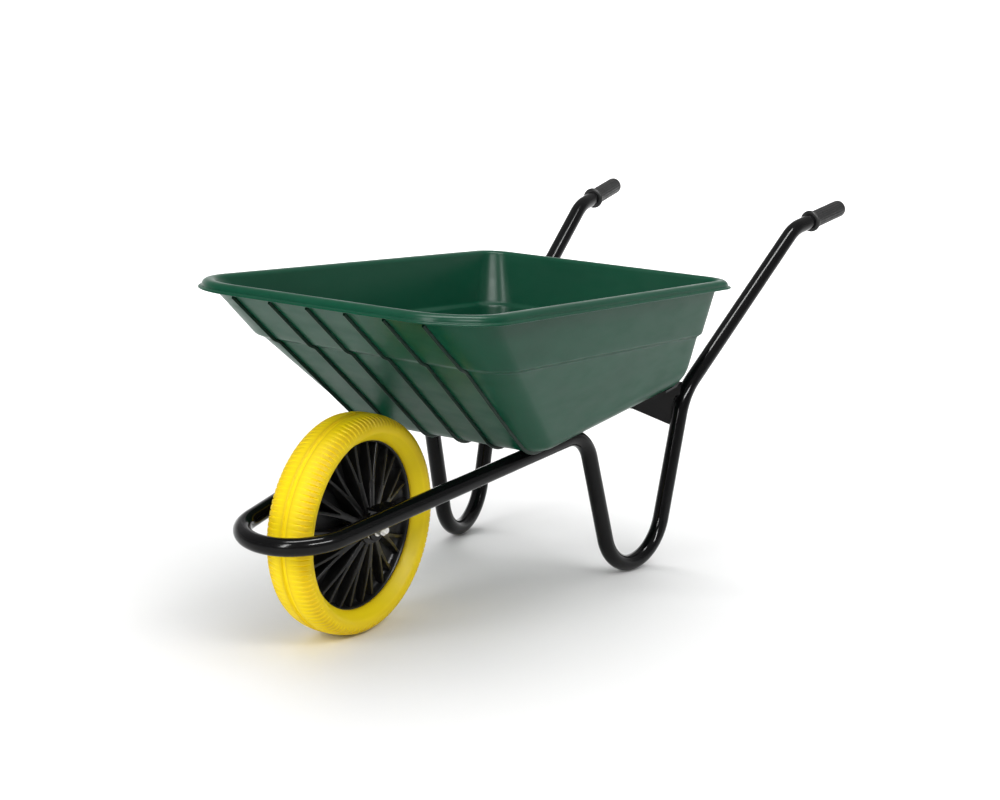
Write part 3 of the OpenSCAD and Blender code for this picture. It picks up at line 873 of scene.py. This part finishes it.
def tyre():
    """Tread with staggered shoulder lugs, centre groove and plain sidewalls."""
    count = LUGS * LUG_STEPS
    pitch = 2 * math.pi / LUGS

    def ring(drop, share, deep, side):
        """One ring of the section; the right side is staggered by half a lug."""
        late = 0 if side > 0 else LUG_STEPS // 2
        shift = 0 if side > 0 else pitch / 2
        out = []
        for i in range(count):
            lug, step = divmod(i - late, LUG_STEPS)
            angle = (lug + LUG_PHASES[step]) * pitch + shift
            cut = deep if step == 0 else 0
            out.append(wheel_point(TYRE_R - drop - cut, side * share * TYRE_HALF, angle))
        return out

    def half(side):
        tread = [ring(*row, side) for row in TREAD]
        return tread + [ring(drop, share, 0, side) for drop, share in SIDEWALL]

    seat = [ring(0.0413, share, 0, 1) for share in (0.33, -0.33)]
    shell = Shell()
    shell.loft(list(reversed(half(-1))) + half(1)[1:] + seat, close_rows=True)
    piece = shell.piece("tyre_tread", FOAM, "wheel", 28)
    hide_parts("tyre")


HUB_R = 0.027
BED_IN = 0.133
CREST_HUB, CREST_BED = 0.036, 0.0141
RIB_STEMS = 14
FORK_R = 0.07
RIM_SIDES = 168
# Hub, dished web and tyre bed: radius and place along the axle.
RIM_SECTION = [
    (0.01405, -0.0395), (0.0145, -0.04), (0.0262, -0.04), (0.027, -0.0392),
    (0.0275, -0.006), (0.029, -0.0032), (0.034, -0.0025), (0.124, -0.0025),
    (0.1295, -0.004), (0.1325, -0.008), (0.133, -0.0148), (0.1345, -0.0165),
    (0.1362, -0.0178), (0.1385, -0.018), (0.1389, -0.0176), (0.1388, -0.0172),
    (0.1362, -0.0138), (0.136, -0.0134),
]


def rim_rib(shell, angle_in, angle_out, r_in, r_out, wide_in, wide_out, side):
    """A tapered rib that stands on the dished web, rounded along its crest."""
    steps = 6
    rings = []
    for s in range(steps + 1):
        t = s / steps
        r = lerp(r_in, r_out, t)
        angle = lerp(angle_in, angle_out, t)
        half = lerp(wide_in, wide_out, t) / 2
        crest = lerp(CREST_HUB, CREST_BED, (r - HUB_R) / (BED_IN - HUB_R))
        middle = wheel_point(r, 0, angle)
        across = Vector((-math.sin(angle), 0, math.cos(angle)))
        profile = [
            (-half - 0.0004, 0.002), (-half, crest - 0.0011),
            (-half + 0.0004, crest - 0.0003), (-half + 0.0011, crest),
            (half - 0.0011, crest), (half - 0.0004, crest - 0.0003),
            (half, crest - 0.0011), (half + 0.0004, 0.002),
        ]
        rings.append(
            [middle + across * a + Vector((0, side * y, 0)) for a, y in profile]
        )
    if side < 0:
        rings = [list(reversed(ring)) for ring in rings]
    shell.loft(rings, cap_first=True, cap_last=True)


def wheel_rim():
    """Hub, dished web, tyre bed, and forked ribs on both faces."""
    shell = Shell()
    section = RIM_SECTION + [(r, -y) for r, y in reversed(RIM_SECTION)]
    turns = [2 * math.pi * i / RIM_SIDES for i in range(RIM_SIDES)]
    rows = [[wheel_point(r, y, a) for a in turns] for r, y in section]
    shell.loft(rows, close_rows=True)
    turn = 2 * math.pi / RIB_STEMS
    for side in (-1, 1):
        for i in range(RIB_STEMS):
            a = turn * i
            rim_rib(shell, a, a, HUB_R - 0.001, FORK_R + 0.004, 0.0085, 0.0115, side)
            for branch in (-1, 1):
                rim_rib(
                    shell, a + branch * 0.042, a + branch * turn * 0.235,
                    FORK_R, BED_IN + 0.0006, 0.0057, 0.0054, side,
                )
    piece = shell.piece("wheel_rim_forked", RIM, "wheel", 40)
    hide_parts("wheel_rim", "wheel_ribs")


# ---- fasteners -----------------------------------------------------------

AXLE_NUT_Y = 0.0526
AXLE_HEX = 0.018
AXLE_NUT_H = 0.0108
AXLE_HEAD_H = 0.0075


def place_at(origin, axis):
    """A matrix that takes local Z to axis, at origin."""
    return Matrix.Translation(origin) @ UP.rotation_difference(axis).to_matrix().to_4x4()


def turned(shell, place, rows, sides=48, wave=None):
    """Rings about local Z from rows of radius and height."""
    rings = []
    for r, z in rows:
        ring = []
        for i in range(sides):
            a = 2 * math.pi * i / sides
            reach = r if wave is None else wave(r, z, a)
            local = Vector((reach * math.cos(a), reach * math.sin(a), z))
            ring.append(place @ local)
        rings.append(ring)
    shell.loft(rings, cap_first=True, cap_last=True)


def hex_reach(across_flats, a):
    """How far a hexagon reaches from its middle in the direction a."""
    sector = math.pi / 3
    return across_flats / 2 / math.cos((a + sector / 2) % sector - sector / 2)


def hex_block(shell, place, across_flats, height, chamfer_ends=(True, True)):
    """A hexagon whose corners are turned off in arcs at its ends."""
    edge = across_flats * 0.09
    spots = [0, 0.25, 0.5, 0.75, 1]
    low = [edge * s for s in spots] if chamfer_ends[0] else [0]
    high = [height - edge * s for s in reversed(spots)] if chamfer_ends[1] else [height]

    def wave(_, z, a):
        reach = hex_reach(across_flats, a)
        if chamfer_ends[0]:
            reach = min(reach, across_flats * 0.485 + z * 1.73)
        if chamfer_ends[1]:
            reach = min(reach, across_flats * 0.485 + (height - z) * 1.73)
        return reach

    turned(shell, place, [(0, z) for z in low + high], 72, wave)


def thread(shell, place, r, low, high, pitch):
    """A threaded shank with a bevelled tip."""
    depth = pitch * 0.55
    rows = []
    steps = max(8, round((high - low) / pitch * 6))
    for i in range(steps + 1):
        rows.append((r, lerp(low, high, i / steps)))

    def wave(base, z, a):
        phase = (z / pitch - a / (2 * math.pi)) % 1
        reach = base - depth * abs(2 * phase - 1)
        return min(reach, base - depth + (high - z) * 0.8 + 0.0004)

    turned(shell, place, rows, 36, wave)


def axle_fasteners():
    """The axle bolt with its thread, and its nut."""
    shell = Shell()
    axis = ACROSS
    head = place_at(Vector((WHEEL_X, -AXLE_NUT_Y - AXLE_HEAD_H, AXLE_Z)), axis)
    hex_block(shell, head, AXLE_HEX, AXLE_HEAD_H, (True, False))
    shank = place_at(Vector((WHEEL_X, 0, AXLE_Z)), axis)
    tip = AXLE_NUT_Y + AXLE_NUT_H + 0.005
    turned(shell, shank, [(0.006, -AXLE_NUT_Y - 0.0005), (0.006, AXLE_NUT_Y - 0.014)])
    thread(shell, shank, 0.006, AXLE_NUT_Y - 0.0145, tip, 0.00175)
    bolt = shell.piece("axle_bolt_threaded", ZINC, "frame", 40)
    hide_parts("axle_bolt")
    nut_shell = Shell()
    nut = place_at(Vector((WHEEL_X, AXLE_NUT_Y, AXLE_Z)), axis)
    hex_block(nut_shell, nut, AXLE_HEX, AXLE_NUT_H)
    piece = nut_shell.piece("axle_nut_chamfered", ZINC, "frame", 40)
    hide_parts("axle_nut")


FLIP = Matrix.Rotation(math.pi, 4, "X")


def tray_fasteners():
    """Domed bolts, load washers, lock washers and nuts through the floor."""
    axis = Vector((math.sin(FLOOR_TILT), 0, math.cos(FLOOR_TILT)))
    bolts, loads, locks, nuts = Shell(), Shell(), Shell(), Shell()
    dome = [(0.0101, 0.0001), (0.01, 0.0009), (0.0086, 0.0024), (0.0062, 0.0036),
            (0.0032, 0.0043), (0.0006, 0.0045)]
    for x, y in ((FRONT_BOLT_X, FRONT_BOLT_Y), (REAR_BOLT_X, REAR_BOLT_Y)):
        for side in (-1, 1):
            place = place_at(Vector((x, side * y, floor_z(x))), axis)
            turned(bolts, place, [(r * 0.99, z + 0.0061) for r, z in dome])
            turned(bolts, place, [(0.004, -0.003), (0.004, 0.0065)])
            thread(bolts, place @ FLIP, 0.004, 0.0028, 0.0155, 0.00125)
            turned(
                loads, place,
                [(0.0146, 0.00405), (0.015, 0.0046), (0.015, 0.0056), (0.0144, 0.0060),
                 (0.0046, 0.0060), (0.0046, 0.00405)],
            )
            turned(
                locks, place,
                [(0.0073, -0.0059), (0.0075, -0.0056), (0.0075, -0.0045),
                 (0.0073, -0.0042), (0.0044, -0.0042)],
            )
            nut = place @ Matrix.Translation((0, 0, -0.01245))
            hex_block(nuts, nut, 0.013, 0.0065)
    rows = (
        (bolts, "tray_bolts_domed", "tray_bolts"),
        (loads, "tray_load_washers_pressed", "tray_load_washers"),
        (locks, "tray_lock_washers_cut", "tray_lock_washers"),
        (nuts, "tray_nuts_chamfered", "tray_nuts"),
    )
    for shell, name, node in rows:
        piece = shell.piece(name, ZINC, "frame", 40)
        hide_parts(node)


# ---- grips ---------------------------------------------------------------

GRIP_R = 0.0165
GRIP_LEN = 0.116
GRIP_CAP = 0.00405
COLLAR_R = 0.021
GRIP_RIBS = 18
FLUTE_DEEP = 0.0011
FLUTES_FROM, FLUTES_TO = -GRIP_LEN + 0.012, -0.0095
FLUTE_END = 0.003


def grip(side, name, node):
    """A ribbed sleeve with a round end and a turned-out collar."""
    flip = 1 if side > 0 else -1
    a = Vector((GRIP_CORNER.x, flip * GRIP_CORNER.y, GRIP_CORNER.z))
    b = Vector((GRIP_END.x, flip * GRIP_END.y, GRIP_END.z))
    out = (b - a).normalized()
    place = place_at(b + out * GRIP_CAP, out)
    profile = [
        (0.0015, 0), (0.008, -0.0001), (0.0118, -0.0006), (0.0146, -0.0018),
        (0.016, -0.0036), (GRIP_R, -0.006), (GRIP_R, -0.0085),
    ]
    profile += [(GRIP_R, lerp(FLUTES_TO, FLUTES_FROM, s / 20)) for s in range(21)]
    profile += [
        (GRIP_R, -GRIP_LEN + 0.01), (0.0172, -GRIP_LEN + 0.0078),
        (0.0196, -GRIP_LEN + 0.0064), (0.0207, -GRIP_LEN + 0.005),
        (COLLAR_R, -GRIP_LEN + 0.0034), (0.0207, -GRIP_LEN + 0.0014),
        (0.0197, -GRIP_LEN + 0.0002), (TUBE_R + 0.0003, -GRIP_LEN + 0.0001),
    ]

    def wave(r, z, a):
        if not FLUTES_FROM <= z <= FLUTES_TO:
            return r
        sector = 2 * math.pi / GRIP_RIBS
        phase = abs((a / sector) % 1 - 0.5) * 2
        ends = min(1, (FLUTES_TO - z) / FLUTE_END, (z - FLUTES_FROM) / FLUTE_END)
        cut = max(0, (phase - 0.62) / 0.38)
        return r - FLUTE_DEEP * min(1, cut * 1.6) * max(0, ends)

    shell = Shell()
    turned(shell, place, profile, GRIP_RIBS * 12, wave)
    piece = shell.piece(name, RUBBER, "frame", 50)
    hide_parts(node)


# ---- CAD nodes that stay -------------------------------------------------


def keep_nodes():
    """Sheet parts, washers and bushes keep their shape and get their finish."""
    kept = {
        "rear_cross_member": (PAINT, 0.0009),
        "front_tray_lugs": (PAINT, 0.0006),
        "left_axle_bracket": (PAINT, 0.0007),
        "right_axle_bracket": (PAINT, 0.0007),
        "axle_washers": (ZINC, 0.0003),
        "axle_tube": (STEEL, 0),
        "thrust_washers": (ZINC, 0.0002),
        "left_wheel_bush": (NYLON, 0.0003),
        "right_wheel_bush": (NYLON, 0.0003),
    }
    for node, (finish, edge) in kept.items():
        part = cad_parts[node]
        part.data.materials.clear()
        part.data.materials.append(finish)
        if edge:
            joined = part.modifiers.new("joined", "WELD")
            joined.merge_threshold = 0.00001
            rounded_edge = part.modifiers.new("rounded_edge", "BEVEL")
            rounded_edge.width = edge
            rounded_edge.segments = 2
            rounded_edge.limit_method = "ANGLE"
            rounded_edge.angle_limit = math.radians(50)
            rounded_edge.harden_normals = False


# ---- stage ---------------------------------------------------------------


def floor():
    """A pale studio floor that curves up all round, well away from the object."""
    f = Finish("studio_floor", (0.86, 0.86, 0.86), 0.6)
    f.vary_roughness(f.spread(f.noise(3, 3), 0.3, 0.7, 0.55, 0.65))
    shell_verts, faces = [], []
    size, rows, flat_reach = 16.0, 48, 6
    for i in range(rows + 1):
        for j in range(rows + 1):
            x = lerp(-size, size, i / rows)
            y = lerp(-size, size, j / rows)
            far = max(0.0, math.hypot(x, y) - flat_reach)
            shell_verts.append((x, y, 0.05 * far * far))
    for i in range(rows):
        for j in range(rows):
            a = i * (rows + 1) + j
            faces.append((a, a + rows + 1, a + rows + 2, a + 1))
    mesh = bpy.data.meshes.new("studio_floor")
    mesh.from_pydata(shell_verts, [], faces)
    mesh.polygons.foreach_set("use_smooth", [True] * len(mesh.polygons))
    mesh.materials.append(f.material)
    stage = bpy.data.objects.new("studio_floor", mesh)
    bpy.context.scene.collection.objects.link(stage)


def area_light(
    name, place, target, width, height, power, glossy=True, diffuse=True
):
    lamp = bpy.data.lights.new(name, "AREA")
    lamp.shape = "RECTANGLE"
    lamp.size = width
    lamp.size_y = height
    lamp.energy = power
    holder = bpy.data.objects.new(name, lamp)
    bpy.context.scene.collection.objects.link(holder)
    holder.visible_glossy = glossy
    holder.visible_diffuse = diffuse
    holder.location = place
    aim = (Vector(target) - Vector(place)).normalized()
    holder.rotation_euler = aim.to_track_quat("-Z", "Y").to_euler()


def lights():
    world = bpy.data.worlds.new("studio")
    bpy.context.scene.world = world
    world.use_nodes = True
    background = world.node_tree.nodes["Background"]
    background.inputs["Color"].default_value = (1, 1, 1, 1)
    background.inputs["Strength"].default_value = 0.42
    # Broad lamps light the floor and the tray. Narrow strips show only as
    # highlights in paint and plastic.
    broad = {"glossy": False}
    strip = {"diffuse": False}
    area_light("key", (1.2, 3.2, 3.4), (0, 0, 0.3), 2.4, 1.2, 60, **broad)
    area_light("overhead", (-0.2, 0.2, 4.4), (0, 0, 0), 5.0, 4.0, 110, **broad)
    area_light("front_fill", (4.2, -0.8, 2.0), (0, 0, 0.35), 1.6, 2.2, 85, **broad)
    area_light("backdrop", (-4, -2.5, 6), (-8, -5, 0.5), 9.0, 5.0, 1100, **broad)
    area_light("strip_side", (1.6, 3.2, 2.6), (0, 0, 0.3), 2.6, 0.35, 170, **strip)
    area_light("strip_top", (0.2, 0.3, 3.2), (0, 0, 0.3), 3.0, 0.4, 130, **strip)
    area_light("strip_front", (3.8, 0.4, 2.2), (0, 0, 0.35), 0.35, 2.4, 110, **strip)


VIEW_AZIMUTH = math.radians(121.767)
VIEW_ELEVATION = math.radians(11.656)
VIEW_ROLL = math.radians(2.467)
VIEW_PLACE = Vector((3.0665, 1.8449, 1.0344))


def camera():
    lens = bpy.data.cameras.new("view")
    lens.lens = 73.72
    lens.sensor_width = 36
    lens.clip_end = 200
    holder = bpy.data.objects.new("view", lens)
    bpy.context.scene.collection.objects.link(holder)
    back = Vector(
        (
            math.sin(VIEW_AZIMUTH) * math.cos(VIEW_ELEVATION),
            -math.cos(VIEW_AZIMUTH) * math.cos(VIEW_ELEVATION),
            math.sin(VIEW_ELEVATION),
        )
    )
    right = (-back).cross(UP).normalized()
    above = right.cross(-back)
    tilted_right = right * math.cos(VIEW_ROLL) + above * math.sin(VIEW_ROLL)
    tilted_up = above * math.cos(VIEW_ROLL) - right * math.sin(VIEW_ROLL)
    holder.matrix_world = Matrix.Translation(VIEW_PLACE) @ Matrix(
        (tilted_right, tilted_up, back)
    ).transposed().to_4x4()
    bpy.context.scene.camera = holder


# ---- everything ----------------------------------------------------------

frame_tube()
weld_beads()
tray()
tyre()
wheel_rim()
axle_fasteners()
tray_fasteners()
grip(1, "left_grip_ribbed", "left_grip")
grip(-1, "right_grip_ribbed", "right_grip")
keep_nodes()
floor()
lights()
camera()
bpy.context.scene.view_settings.view_transform = "Standard"
